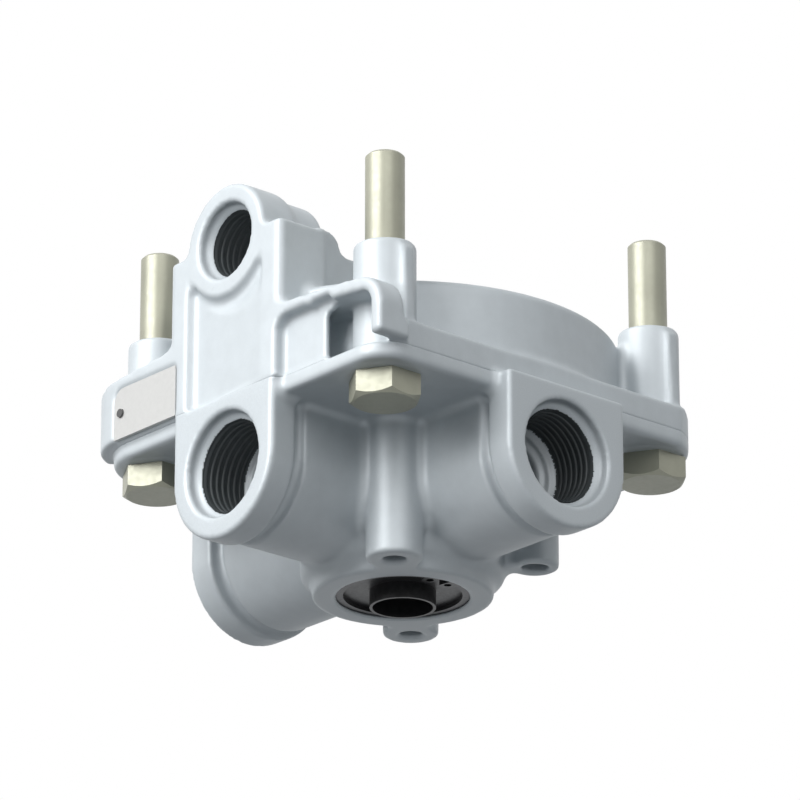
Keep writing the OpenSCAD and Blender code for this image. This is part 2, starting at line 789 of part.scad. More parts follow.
// Internal circlip with an open gap and two eyes
module snap_ring() {
    out_r = exhaust_r + snap_depth - 3 * seal_gap;
    color("black") translate([0, 0, snap_z + snap_gap]) linear_extrude(snap_t - 2 * snap_gap) difference() {
        union() {
            difference() {
                circle(out_r);
                circle(snap_in_r);
            }
            snap_eyes(snap_eye_r);
        }
        snap_eyes(snap_eye_hole_r);
        polygon([[0, 0], [2 * out_r, -2 * out_r * tan(snap_gap_angle)],
                 [2 * out_r, 2 * out_r * tan(snap_gap_angle)]]);
    }
}
module snap_eyes(r) {
    for (s = [-1, 1]) rotate(s * snap_eye_angle) translate([snap_in_r - snap_eye_hole_r, 0]) circle(r);
}

module mounting_bolts() {
    top = boss_top_z + stud_reach;
    washer_r = head_af / 2 - head_chamfer;
    color("palegoldenrod") at_bolts() {
        translate([0, 0, head_z - 1]) cylinder(r = bolt_d / 2 - shank_relief, h = stud_z - head_z + 1);
        translate([0, 0, stud_z]) cylinder(d = bolt_d, h = top - bolt_tip - stud_z);
        translate([0, 0, top - bolt_tip]) cylinder(d1 = bolt_d, d2 = bolt_d - 2 * bolt_tip, h = bolt_tip);
        intersection() {
            translate([0, 0, head_z - head_h]) rotate(30)
                cylinder(d = head_af / cos(30), h = head_h, $fn = 6);
            translate([0, 0, head_z - head_h])
                cylinder(r1 = washer_r, r2 = washer_r + 3 * head_h, h = 2 * head_h);
        }
    }
}

module name_plate() {
    color("whitesmoke") difference() {
        translate([0, plate_back_gap, 0]) from_front(plate_t) plate_front();
        translate([plate_pin_x, -flange_front - plate_t, plate_z]) rotate([-90, 0, 0])
            cylinder(r = plate_pin_r + plate_pin_gap, h = 3 * plate_t);
    }
}

module name_plate_pin() {
    color("dimgray") translate([plate_pin_x, plate_pocket_t - flange_front, plate_z])
        rotate([90, 0, 0]) cylinder(r = plate_pin_r, h = plate_pocket_t + plate_back_gap);
}

upper_housing();
lower_housing();
housing_seal();
relay_piston();
piston_seal();
valve_tube();
valve_disc();
disc_retainer();
valve_spring();
seal_retainer();
valve_guide();
guide_outer_seal();
guide_inner_seal();
snap_ring();
mounting_bolts();
name_plate();
name_plate_pin();
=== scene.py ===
import itertools
import math

import bpy
import numpy as np
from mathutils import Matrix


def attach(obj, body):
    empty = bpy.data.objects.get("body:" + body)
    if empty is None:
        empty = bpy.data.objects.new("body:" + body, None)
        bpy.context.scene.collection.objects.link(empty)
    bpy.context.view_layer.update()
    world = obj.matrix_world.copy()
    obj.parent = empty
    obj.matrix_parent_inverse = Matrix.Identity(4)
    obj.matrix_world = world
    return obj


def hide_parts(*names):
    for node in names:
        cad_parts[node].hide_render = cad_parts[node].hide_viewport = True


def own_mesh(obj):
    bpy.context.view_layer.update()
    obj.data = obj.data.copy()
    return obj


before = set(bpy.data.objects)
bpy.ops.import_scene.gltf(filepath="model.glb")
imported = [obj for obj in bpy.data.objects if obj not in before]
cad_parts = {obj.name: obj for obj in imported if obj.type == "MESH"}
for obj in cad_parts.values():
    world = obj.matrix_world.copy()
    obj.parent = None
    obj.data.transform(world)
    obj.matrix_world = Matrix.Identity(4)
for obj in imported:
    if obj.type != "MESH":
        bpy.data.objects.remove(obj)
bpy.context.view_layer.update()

import openvdb
from mathutils import Matrix, Vector

bl_info = {
    "name": "Air brake relay valve looks",
    "version": (1, 0, 0),
    "blender": (4, 5, 0),
    "location": "3D View > Sidebar > Relay valve",
    "description": "Builds the visible surfaces, materials and studio of an air brake relay valve",
    "category": "Object",
}

MM = 0.001
HOUSINGS = ("upper_housing", "lower_housing")

# Places that the castings' surfaces share with the solids, in millimetres.
FIELD_BLOCK = ((-53, -51, -3.5), (53, 49, 80))  # corners of the distance fields
BOLT_AT = 36  # distance of a bolt from the middle, both ways
BOSS_R, BOSS_Z = 6.3, 56.5  # radius of the bosses round the bolts and height of their faces
PORT_Z, PORT_R = 18, 9.5  # axis and threaded bore of the three large ports
CONTROL_Z, CONTROL_R = 66.2, 6.9  # axis and threaded bore of the control port
THREAD_PITCH = 1.5
THREADS = (  # way out, height of the axis, nearest and farthest point, bore, depth of thread
    ((1, 0), PORT_Z, 36, 47, PORT_R, 0.25),
    ((-1, 0), PORT_Z, 36, 47, PORT_R, 0.25),
    ((0, -1), PORT_Z, 34, 45, PORT_R, 0.25),
    ((0, -1), CONTROL_Z, 35, 45, CONTROL_R, 0.22),
)


class CastingSettings(bpy.types.PropertyGroup):
    """Sizes and colours of the two castings."""
    cell: bpy.props.FloatProperty(
        name="Cell",
        description="Edge of one cell of the distance field, a divisor of the joint height",
        default=0.38 * MM, min=0.1 * MM, subtype="DISTANCE", unit="LENGTH")
    fillet: bpy.props.FloatProperty(
        name="Fillet", description="Radius in the hollow corners left by the mould",
        default=1.3 * MM, min=0.4 * MM, subtype="DISTANCE", unit="LENGTH")
    edge: bpy.props.FloatProperty(
        name="Edge", description="Radius on the outward corners",
        default=0.5 * MM, min=0.2 * MM, subtype="DISTANCE", unit="LENGTH")
    joint: bpy.props.FloatProperty(
        name="Joint height", description="Height of the joint between the castings",
        default=32.3 * MM, subtype="DISTANCE", unit="LENGTH")
    flange_side: bpy.props.FloatProperty(
        name="Flange side", description="Distance from the axis out to the sides of the flange",
        default=46.3 * MM, subtype="DISTANCE", unit="LENGTH")
    flange_front: bpy.props.FloatProperty(
        name="Flange front", description="Distance from the axis to the front of the lower flange",
        default=45.9 * MM, subtype="DISTANCE", unit="LENGTH")
    flange_top: bpy.props.FloatProperty(
        name="Flange top", description="Height of the upper side of the flange",
        default=37.7 * MM, subtype="DISTANCE", unit="LENGTH")
    flange_under: bpy.props.FloatProperty(
        name="Flange underside", description="Height of the underside of the flange",
        default=28.9 * MM, subtype="DISTANCE", unit="LENGTH")
    flange_roll: bpy.props.FloatProperty(
        name="Flange roll", description="Radius on the lower edge of the flange",
        default=1.2 * MM, min=0.3 * MM, subtype="DISTANCE", unit="LENGTH")
    pad_width: bpy.props.FloatProperty(
        name="Pad width", description="Width of the port pads that stand out from the flange",
        default=31.2 * MM, subtype="DISTANCE", unit="LENGTH")
    hood_side: bpy.props.FloatProperty(
        name="Hood side", description="Distance from the axis out to the sides of the hood",
        default=48.4 * MM, subtype="DISTANCE", unit="LENGTH")
    window_edge: bpy.props.FloatProperty(
        name="Window edge", description="Distance from the axis to the near edge of the window",
        default=16.3 * MM, subtype="DISTANCE", unit="LENGTH")
    triangles: bpy.props.IntProperty(
        name="Triangles", description="Most triangles kept in one casting",
        default=180000, min=1000)
    colour: bpy.props.FloatVectorProperty(
        name="Casting", description="Colour of the blasted casting skin",
        default=(0.52, 0.56, 0.585), size=3, min=0, max=1, subtype="COLOR")
    machined: bpy.props.FloatVectorProperty(
        name="Machined", description="Colour of the machined faces",
        default=(0.51, 0.55, 0.575), size=3, min=0, max=1, subtype="COLOR")
    # Bore: the near-black colour of the port threads is painted shade, standing for the shade deep
    # inside the ports.
    bore: bpy.props.FloatVectorProperty(
        name="Bore", description="Colour of the oiled threads in the ports",
        default=(0.055, 0.063, 0.066), size=3, min=0, max=1, subtype="COLOR")


class MetalSettings(bpy.types.PropertyGroup):
    """Colours and edge radii of the bolts, the plate and the steel parts."""
    head_edge: bpy.props.FloatProperty(
        name="Bolt edge", description="Radius on the edges of the bolts",
        default=0.25 * MM, min=0.05 * MM, subtype="DISTANCE", unit="LENGTH")
    turned_edge: bpy.props.FloatProperty(
        name="Turned edge", description="Radius on the edges of the piston and of the plate's pin",
        default=0.2 * MM, min=0.05 * MM, subtype="DISTANCE", unit="LENGTH")
    plate_edge: bpy.props.FloatProperty(
        name="Plate edge", description="Radius on the edges of the name plate",
        default=0.15 * MM, min=0.05 * MM, subtype="DISTANCE", unit="LENGTH")
    ring_edge: bpy.props.FloatProperty(
        name="Ring edge", description="Radius on the edges of the snap ring",
        default=0.1 * MM, min=0.05 * MM, subtype="DISTANCE", unit="LENGTH")
    zinc: bpy.props.FloatVectorProperty(
        name="Zinc", description="Colour of the yellow zinc on the bolts",
        default=(0.34, 0.34, 0.27), size=3, min=0, max=1, subtype="COLOR")
    plate: bpy.props.FloatVectorProperty(
        name="Plate", description="Colour of the name plate",
        default=(0.52, 0.52, 0.51), size=3, min=0, max=1, subtype="COLOR")
    steel: bpy.props.FloatVectorProperty(
        name="Steel", description="Colour of bright steel",
        default=(0.50, 0.50, 0.50), size=3, min=0, max=1, subtype="COLOR")
    turned: bpy.props.FloatVectorProperty(
        name="Turned alloy", description="Colour of the turned piston",
        default=(0.70, 0.71, 0.72), size=3, min=0, max=1, subtype="COLOR")
    pin: bpy.props.FloatVectorProperty(
        name="Pin", description="Colour of the pin that holds the plate",
        default=(0.12, 0.12, 0.12), size=3, min=0, max=1, subtype="COLOR")
    ring: bpy.props.FloatVectorProperty(
        name="Snap ring", description="Colour of the snap ring in the exhaust",
        default=(0.05, 0.05, 0.052), size=3, min=0, max=1, subtype="COLOR")


class SpringSettings(bpy.types.PropertyGroup):
    """Sizes of the valve spring."""
    wire: bpy.props.FloatProperty(
        name="Wire", description="Diameter of the spring's wire",
        default=1.5 * MM, subtype="DISTANCE", unit="LENGTH")
    spring_radius: bpy.props.FloatProperty(
        name="Coil radius", description="Distance from the axis to the middle of the wire",
        default=10.2 * MM, subtype="DISTANCE", unit="LENGTH")
    spring_low: bpy.props.FloatProperty(
        name="Spring foot", description="Height of the guide's floor that the spring stands on",
        default=3.6 * MM, subtype="DISTANCE", unit="LENGTH")
    spring_high: bpy.props.FloatProperty(
        name="Spring top", description="Height of the underside of the valve head at rest",
        default=18.6 * MM, subtype="DISTANCE", unit="LENGTH")
    spring_turns: bpy.props.FloatProperty(
        name="Turns", description="Number of turns of the spring", default=4.5, min=1)
    valve_travel: bpy.props.FloatProperty(
        name="Valve travel", description="Way of the valve from rest to its lower limit",
        default=2.948 * MM, subtype="DISTANCE", unit="LENGTH")


class DarkSettings(bpy.types.PropertyGroup):
    """Colours of the plastic and rubber parts."""
    plastic: bpy.props.FloatVectorProperty(
        name="Plastic", description="Colour of the moulded guide and valve tube",
        default=(0.012, 0.012, 0.013), size=3, min=0, max=1, subtype="COLOR")
    rubber: bpy.props.FloatVectorProperty(
        name="Rubber", description="Colour of the seals",
        default=(0.02, 0.02, 0.02), size=3, min=0, max=1, subtype="COLOR")
    edge: bpy.props.FloatProperty(
        name="Edge", description="Radius on the edges of the plastic parts",
        default=0.2 * MM, min=0.05 * MM, subtype="DISTANCE", unit="LENGTH")


class StageSettings(bpy.types.PropertyGroup):
    """Camera, floor and lamps."""
    azimuth: bpy.props.FloatProperty(
        name="Azimuth", description="Direction of the camera round the valve, from the front",
        default=math.radians(49.0), subtype="ANGLE", unit="ROTATION")
    elevation: bpy.props.FloatProperty(
        name="Elevation", description="Height angle of the camera, below the valve when negative",
        default=math.radians(-20.81), subtype="ANGLE", unit="ROTATION")
    distance: bpy.props.FloatProperty(
        name="Distance", description="Distance of the camera from the point it is turned round",
        default=1.0987, subtype="DISTANCE", unit="LENGTH")
    side: bpy.props.FloatProperty(
        name="Side shift", description="Shift of the camera to its right",
        default=-0.56 * MM, subtype="DISTANCE", unit="LENGTH")
    rise: bpy.props.FloatProperty(
        name="Rise", description="Shift of the camera upward in its picture",
        default=40.56 * MM, subtype="DISTANCE", unit="LENGTH")
    lens: bpy.props.FloatProperty(
        name="Lens", description="Focal length in millimetres on a 36 mm sensor", default=242.55)
    floor: bpy.props.FloatProperty(
        name="Floor", description="Height of the studio floor", default=-1.6,
        subtype="DISTANCE", unit="LENGTH")
    floor_colour: bpy.props.FloatVectorProperty(
        name="Floor colour", description="Colour of the floor as it is seen",
        default=(0.85, 0.86, 0.87), size=3, min=0, max=1, subtype="COLOR")
    floor_shade: bpy.props.FloatVectorProperty(
        name="Floor shade", description="Colour of the light that the floor sends back",
        default=(0.30, 0.31, 0.32), size=3, min=0, max=1, subtype="COLOR")
    floor_glow: bpy.props.FloatProperty(
        name="Floor glow",
        description="White added to the floor as it is seen, and not to its light",
        default=0.5, min=0)
    key: bpy.props.FloatProperty(
        name="Key lamp", description="Power of the main lamp in watts", default=20.0, min=0)
    fill: bpy.props.FloatProperty(
        name="Fill lamp", description="Power of the lamp on the other side in watts",
        default=3.4, min=0)
    sky: bpy.props.FloatProperty(
        name="Sky", description="Strength of the light from all around", default=0.35, min=0)


def read(items, name, kind=np.float32):
    """One property of all vertices or faces of a mesh that has three numbers for each."""
    out = np.empty(len(items) * 3, kind)
    items.foreach_get(name, out)
    return out.reshape(-1, 3)


def mesh_arrays(obj, weld=1e-3):
    """Vertices in millimetres and triangles of an object.

    Vertices closer than weld millimetres become one."""
    me = obj.data
    me.calc_loop_triangles()
    v = read(me.vertices, "co") / MM
    key = np.round(v / weld).astype(np.int64)
    first, inverse = np.unique(key, axis=0, return_inverse=True)
    inverse = inverse.reshape(-1)
    welded = np.zeros((len(first), 3), np.float32)
    welded[inverse] = v
    t = inverse[read(me.loop_triangles, "vertices", np.int32)].astype(np.int32)
    keep = (t[:, 0] != t[:, 1]) & (t[:, 1] != t[:, 2]) & (t[:, 2] != t[:, 0])
    return welded, t[keep]


class Field:
    """Signed distance, in millimetres, on a block of cubic cells of edge h.

    value[i, j, k] is the distance at ((i, j, k) + low) * h, negative inside."""

    def __init__(self, h, low, high):
        self.h = h
        self.low = np.floor(np.array(low) / h).astype(int)
        self.count = np.ceil(np.array(high) / h).astype(int) - self.low + 1
        self.frame = openvdb.createLinearTransform(h)

    def axes(self):
        """Coordinates in millimetres, shaped so that they broadcast over the block."""
        x, y, z = ((np.arange(n) + a) * self.h for n, a in zip(self.count, self.low))
        return x[:, None, None], y[None, :, None], z[None, None, :]

    def from_mesh(self, v, t, q, reach):
        """Distance to a closed mesh, cut off at reach on both sides."""
        grid = openvdb.FloatGrid.createLevelSetFromPolygons(
            v, triangles=t, quads=q, transform=self.frame, halfWidth=reach / self.h)
        value = np.full(tuple(self.count), reach, np.float32)
        grid.copyToArray(value, ijk=tuple(int(a) for a in self.low))
        return value

    def skin(self, value, level=0.0):
        """Vertices, triangles and quads of the surface on which value equals level."""
        grid = openvdb.FloatGrid(background=float(value.max()))
        grid.transform = self.frame
        grid.copyFromArray(np.ascontiguousarray(value), ijk=tuple(int(a) for a in self.low))
        return grid.convertToPolygons(isovalue=level, adaptivity=0.0)

    def again(self, value, level, reach):
        """True distance to the surface on which value equals level."""
        v, t, q = self.skin(value, level)
        return self.from_mesh(v, t, q, reach)

    def closed(self, value, r):
        """Fills hollow corners with radius r: grow by r, measure again, shrink by r."""
        return self.again(value, r, r + 3 * self.h) + r

    def opened(self, value, r):
        """Rounds outward corners with radius r: shrink by r, measure again, grow by r."""
        return self.again(value, -r, r + 3 * self.h) - r

    def slope(self, value, points):
        """Direction in which value grows at each point, by linear interpolation."""
        p = points / self.h - self.low
        base = np.clip(np.floor(p).astype(int), 1, self.count - 3)
        part = np.clip(p - base, 0, 1)
        out = np.zeros(points.shape)
        for shift in itertools.product((0, 1), repeat=3):
            share = np.prod(np.where(shift, part, 1 - part), axis=1)
            for axis, step in enumerate(np.eye(3, dtype=int)):
                ahead, behind = (base + shift + step).T, (base + shift - step).T
                out[:, axis] += share * (value[tuple(ahead)] - value[tuple(behind)])
        length = np.linalg.norm(out, axis=1, keepdims=True)
        return out / np.maximum(length, 1e-9)


def new_object(name, v, faces, scale=MM):
    """A mesh object at the origin from its vertices and a list of arrays of faces.

    All faces of one array have the same number of corners."""
    me = bpy.data.meshes.new(name)
    me.vertices.add(len(v))
    me.vertices.foreach_set("co", (v * scale).astype(np.float32).ravel())
    sizes = np.concatenate([np.full(len(f), f.shape[1]) for f in faces]).astype(np.int32)
    flat = np.concatenate([f.ravel() for f in faces]).astype(np.int32)
    me.loops.add(len(flat))
    me.loops.foreach_set("vertex_index", flat)
    me.polygons.add(len(sizes))
    me.polygons.foreach_set("loop_start", (np.cumsum(sizes) - sizes).astype(np.int32))
    me.polygons.foreach_set("loop_total", sizes)
    me.update(calc_edges=True)
    me.validate()
    obj = bpy.data.objects.new(name, me)
    bpy.context.scene.collection.objects.link(obj)
    return obj


def smooth(obj):
    """Smooth shading on all faces of an object."""
    obj.data.polygons.foreach_set("use_smooth", np.ones(len(obj.data.polygons), bool))


def baked(obj):
    """Replaces an object's mesh with the result of its modifiers."""
    graph = bpy.context.evaluated_depsgraph_get()
    me = bpy.data.meshes.new_from_object(obj.evaluated_get(graph))
    old = obj.data
    obj.modifiers.clear()
    obj.data = me
    bpy.data.meshes.remove(old)


def principled(name):
    """A new node material, its tree and its shader."""
    mat = bpy.data.materials.new(name)
    mat.use_nodes = True
    tree = mat.node_tree
    return mat, tree, tree.nodes["Principled BSDF"]


def object_coords(tree):
    """Object coordinates in metres."""
    return tree.nodes.new("ShaderNodeTexCoord").outputs["Object"]


def noise(tree, vector, waves, detail):
    """Noise of so many waves in a metre."""
    node = tree.nodes.new("ShaderNodeTexNoise")
    node.inputs["Scale"].default_value = waves
    node.inputs["Detail"].default_value = detail
    node.inputs["Roughness"].default_value = 0.55
    tree.links.new(vector, node.inputs["Vector"])
    return node.outputs["Fac"]


def spread(tree, value, low, high):
    """The middle of a noise, 0.3 to 0.7, spread over low to high."""
    node = tree.nodes.new("ShaderNodeMapRange")
    node.inputs["From Min"].default_value = 0.3
    node.inputs["From Max"].default_value = 0.7
    node.inputs["To Min"].default_value = low
    node.inputs["To Max"].default_value = high
    tree.links.new(value, node.inputs["Value"])
    return node.outputs["Result"]


def shade(tree, shader, value, colour, dark, light):
    """Links the shader's colour: colour times dark to light, chosen by a noise."""
    node = tree.nodes.new("ShaderNodeMix")
    node.data_type = "RGBA"
    node.inputs["A"].default_value = (*[c * dark for c in colour], 1)
    node.inputs["B"].default_value = (*[min(1, c * light) for c in colour], 1)
    tree.links.new(spread(tree, value, 0, 1), node.inputs["Factor"])
    tree.links.new(node.outputs["Result"], shader.inputs["Base Color"])


def roughen(tree, shader, value, low, high):
    """Links the shader's roughness: low to high, chosen by a noise."""
    tree.links.new(spread(tree, value, low, high), shader.inputs["Roughness"])


def bump(tree, shader, height, distance, strength):
    """Bumps of distance metres on the shader's normal, over those that are there."""
    node = tree.nodes.new("ShaderNodeBump")
    node.inputs["Distance"].default_value = distance
    node.inputs["Strength"].default_value = strength
    tree.links.new(height, node.inputs["Height"])
    if shader.inputs["Normal"].is_linked:
        tree.links.new(shader.inputs["Normal"].links[0].from_socket, node.inputs["Normal"])
    tree.links.new(node.outputs["Normal"], shader.inputs["Normal"])


def round_edges(obj, width, segments=3):
    """Small rounding on the sharp edges of a piece, with smooth faces between them."""
    mod = obj.modifiers.new("edge", "BEVEL")
    mod.width = width
    mod.segments = segments
    mod.limit_method = "ANGLE"
    mod.angle_limit = math.radians(35)
    mod.harden_normals = True


def dress(node, mat):
    """Gives a CAD node one material."""
    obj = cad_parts[node]
    obj.data.materials.clear()
    obj.data.materials.append(mat)
    return obj


def tube_quads(rows, sides):
    """Quads between the rows of a tube that has sides points in each of its rows + 1 rings."""
    i, j = np.meshgrid(np.arange(rows), np.arange(sides), indexing="ij")
    k = (j + 1) % sides
    quads = np.stack([i * sides + j, (i + 1) * sides + j, (i + 1) * sides + k, i * sides + k], -1)
    return quads.reshape(-1, 4)


def coil(mean_r, wire_r, low, high, turns, sides=16, per_turn=48):
    """Wire of a spring as a closed tube.

    The wire's middle climbs evenly from low to high on a helix of radius mean_r. Round it,
    at angle t of its section, a point lies mean_r + wire_r cos t from the axis and
    wire_r sin t above the middle."""
    steps = int(turns * per_turn)
    a = np.linspace(0, 2 * np.pi * turns, steps + 1)[:, None]
    t = np.linspace(0, 2 * np.pi, sides, endpoint=False)[None, :]
    r = mean_r + wire_r * np.cos(t)
    z = low + (high - low) * np.arange(steps + 1)[:, None] / steps + wire_r * np.sin(t)
    v = np.stack([r * np.cos(a), r * np.sin(a), z], -1).reshape(-1, 3)
    ring = np.arange(sides)[None, :]
    return v, [tube_quads(steps, sides), ring, steps * sides + ring[:, ::-1]]


def seen_ray(tree):
    """1 for rays of the camera, of reflections and of glass, and 0 for light that spreads."""
    path = tree.nodes.new("ShaderNodeLightPath")
    value = path.outputs["Is Camera Ray"]
    for kind in ("Is Glossy Ray", "Is Transmission Ray"):
        node = tree.nodes.new("ShaderNodeMath")
        node.operation = "MAXIMUM"
        tree.links.new(value, node.inputs[0])
        tree.links.new(path.outputs[kind], node.inputs[1])
        value = node.outputs[0]
    return value


def cast_material(settings):
    """Blasted light-alloy casting: fine grain over a faint broad mottle."""
    mat, tree, shader = principled("cast_alloy")
    at = object_coords(tree)
    grain = noise(tree, at, waves=2600, detail=3)
    mottle = noise(tree, at, waves=260, detail=5)
    shader.inputs["Metallic"].default_value = 0.15
    shade(tree, shader, mottle, settings.colour, dark=0.97, light=1.03)
    roughen(tree, shader, grain, low=0.42, high=0.52)
    bump(tree, shader, mottle, distance=0.025 * MM, strength=0.4)
    bump(tree, shader, grain, distance=0.03 * MM, strength=0.6)
    return mat


def machined_material(name, colour, rough):
    """Machined alloy: smoother, with the fine marks of a cutter."""
    mat, tree, shader = principled(name)
    marks = noise(tree, object_coords(tree), waves=4200, detail=2)
    shader.inputs["Metallic"].default_value = 0.15
    shade(tree, shader, marks, colour, dark=0.95, light=1.04)
    roughen(tree, shader, marks, low=rough * 0.9, high=rough * 1.15)
    bump(tree, shader, marks, distance=0.01 * MM, strength=0.5)
    return mat


def metal_material(name, colour, rough, waves=1800, depth=0.01, metallic=1.0):
    """Metal with an even grain of so many waves in a metre and depth millimetres."""
    mat, tree, shader = principled(name)
    at = object_coords(tree)
    grain = noise(tree, at, waves=waves, detail=3)
    broad = noise(tree, at, waves=120, detail=3)
    shader.inputs["Metallic"].default_value = metallic
    shade(tree, shader, broad, colour, dark=0.92, light=1.06)
    roughen(tree, shader, grain, low=rough * 0.85, high=rough * 1.15)
    bump(tree, shader, grain, distance=depth * MM, strength=0.5)
    return mat


def dark_material(name, colour, rough):
    """Moulded plastic or rubber with a faint grain."""
    mat, tree, shader = principled(name)
    grain = noise(tree, object_coords(tree), waves=1500, detail=3)
    shade(tree, shader, grain, colour, dark=0.8, light=1.3)
    roughen(tree, shader, grain, low=rough * 0.85, high=rough * 1.15)
    bump(tree, shader, grain, distance=0.02 * MM, strength=0.5)
    return mat


def foil_material(name, colour):
    """Satin sheet of the name plate."""
    mat, tree, shader = principled(name)
    grain = noise(tree, object_coords(tree), waves=1500, detail=3)
    shader.inputs["Metallic"].default_value = 0.35
    shade(tree, shader, grain, colour, dark=0.97, light=1.02)
    roughen(tree, shader, grain, low=0.34, high=0.42)
    bump(tree, shader, grain, distance=0.008 * MM, strength=0.5)
    return mat


def common(first, *others):
    """Distance to what lies in all shapes: the greatest of their distances."""
    for other in others:
        first = np.maximum(first, other)
    return first


def between(value, low, high):
    """True where value lies between low and high."""
    return (value > low) & (value < high)


def corner(across, along, r):
    """Distance to a corner of radius r; across and along run outward from its centre."""
    outside = np.hypot(np.maximum(across, 0), np.maximum(along, 0))
    return outside + np.minimum(np.maximum(across, along), 0) - r


def flange_outline(x, y, side, front):
    """Distance to the plan outline of the flange, in millimetres.

    Straight sides and front, a small corner at the window, a large one at the plate,
    and rear corners whose arcs meet the sides in a crease."""
    rear_r, rear_inset, rear_y = 18, 16.6, 28
    window_r, plate_r = 6.8, 13.1
    rear = corner(abs(x) - (side - rear_inset), y - rear_y, rear_r)
    window = corner(x - (side - window_r), -y - (front - window_r), window_r)
    plate = corner(-x - (side - plate_r), -y - (front - plate_r), plate_r)
    return common(rear, abs(x) - side, window, plate)


def set_back_lower(value, x, y, z, s):
    """Flange set back from the port pads, with its lower edge rolled.

    Above the arms of the ports the solid is cut to the flange's outline, and only the
    pads pass it."""
    arms_top = 24
    outline = flange_outline(x, y, s.flange_side / MM, s.flange_front / MM)
    pad = s.pad_width / MM / 2
    roll, under = s.flange_roll / MM, s.flange_under / MM
    rolled = np.hypot(np.maximum(under + roll - z, 0), np.maximum(outline + roll, 0)) - roll
    flange = np.where(outline > -roll, np.maximum(rolled, outline), outline)
    allowed = np.minimum(flange, np.minimum(abs(x) - pad, abs(y) - pad))
    return np.where(z > arms_top, np.maximum(value, allowed), value)


def set_back_upper(value, x, y, z, axis_r, s):
    """Flange of the upper casting set back beside the hood and made thicker, and a wider window.

    The hood keeps its own side, and its thin wall ends in a rounded corner before the boss.
    The flange is a slab that stops at the drum and at the window. The window has a shallow
    recess and a deep one, which leave the boss whole."""
    side, hood, near = s.flange_side / MM, s.hood_side / MM, s.window_edge / MM
    above_joint = s.joint / MM - z
    boss = BOSS_R - np.hypot(x - BOLT_AT, y + BOLT_AT)

    hood_front, hood_back, plate_r = 48, 40, 13.3
    plate = corner(plate_r - hood - x, plate_r - hood_front - y, plate_r)
    hood_plan = common(abs(x) - hood, y + hood_back, plate)
    value = np.maximum(value, np.minimum(flange_outline(x, y, side, hood_front), hood_plan))

    wall_end, wall_back, wall_z, wall_r = 40, 38, 38.3, 7
    wall = corner(x - (hood - wall_r), z - wall_z, wall_r)
    value = np.maximum(value, -common(-wall, wall_end - x, y + wall_back, boss))

    drum_r, window_start, window_back = 44.2, 15, 39.4
    slab = common(flange_outline(x, y, side, s.flange_front / MM), z - s.flange_top / MM,
                  above_joint, drum_r - axis_r, np.minimum(x - window_start, -window_back - y))
    value = np.minimum(value, slab)

    pane_r, pane_z, pane_end, pane_y = 3, 41.4, 26, -45.4
    pane = common(corner(near + pane_r - x, z - pane_z, pane_r), x - pane_end, above_joint,
                  y - pane_y)
    deep_start, deep_end, deep_top, deep_y = 29.3, 32, 42.3, -39.2
    deep = common(deep_start - x, x - deep_end, z - deep_top, above_joint, y - deep_y)
    return np.maximum(value, -np.maximum(np.minimum(pane, deep), boss))


def sharp_zones(x, y, z, axis_r):
    """Two masks: where the castings stay exactly as their solids, and where hollow corners
    stay sharp.

    The first holds the drum and the chamber of the valve. The second adds the bores of the
    ports and of the exhaust, the recess of the plate and the window."""
    drum_r, drum_low, drum_high = 44.4, 29.5, 50.6
    chamber_r, chamber_low, chamber_high = 17, 0.55, 32
    drum = (axis_r < drum_r) & between(z, drum_low, drum_high)
    chamber = (axis_r < chamber_r) & between(z, chamber_low, chamber_high)
    inner = drum | chamber

    port_r, ports_top, side_start, front_start = 11.4, 32, 20, -14
    side_ports = (np.hypot(y, z - PORT_Z) < port_r) & (abs(x) > side_start) & (z < ports_top)
    front_port = (np.hypot(x, z - PORT_Z) < port_r) & (y < front_start) & (z < ports_top)
    control_r, control_start, exhaust_r = 8.6, -30, 14
    control = (np.hypot(x, z - CONTROL_Z) < control_r) & (y < control_start)
    bores = side_ports | front_port | control | (axis_r < exhaust_r)

    plate_end, plate_y, plate_low, plate_high = -14, -45.5, 31, 45.5
    plate = (x < plate_end) & (y < plate_y) & between(z, plate_low, plate_high)
    window_start, window_end, window_y, window_low, window_high = 15, 46.5, -38.8, 32.4, 45.6
    window = (between(x, window_start, window_end) & (y < window_y)
              & between(z, window_low, window_high))
    return inner, inner | bores | plate | window


def face_slots(x, y, z):
    """Material of each face by its centre: 0 blasted, 1 machined, 2 the bores' threads in
    near-black painted shade.
    """
    side, front = np.hypot(y, z - PORT_Z), np.hypot(x, z - PORT_Z)
    control, exhaust = np.hypot(x, z - CONTROL_Z), np.hypot(x, y)

    side_pad, front_pad, pad_half, pads_top = 49.85, -47.85, 16, 33
    pads = ((abs(x) > side_pad) | ((y < front_pad) & (abs(x) < pad_half))) & (z < pads_top)
    near = 0.1
    ends = (abs(z) < near) | (abs(z - BOSS_Z) < near)
    port_r, port_start, control_r, control_start = 11.3, 20, 8.4, -30
    exhaust_r, exhaust_top = 13.6, 14
    mouths = (((side < port_r) & (abs(x) > port_start)) | ((front < port_r) & (y < -port_start))
              | ((control < control_r) & (y < control_start))
              | ((exhaust < exhaust_r) & (z < exhaust_top)))

    # Walls of the threaded bores, which get the near-black painted shade of the ports' depth.
    wall = 0.3
    bores = (((abs(side - PORT_R) < wall) & between(abs(x), 35, 47))
             | ((abs(front - PORT_R) < wall) & between(y, -45, -33))
             | ((abs(control - CONTROL_R) < wall) & between(y, -45, -34)))
    return np.where(bores, 2, pads | ends | mouths).astype(np.int32)


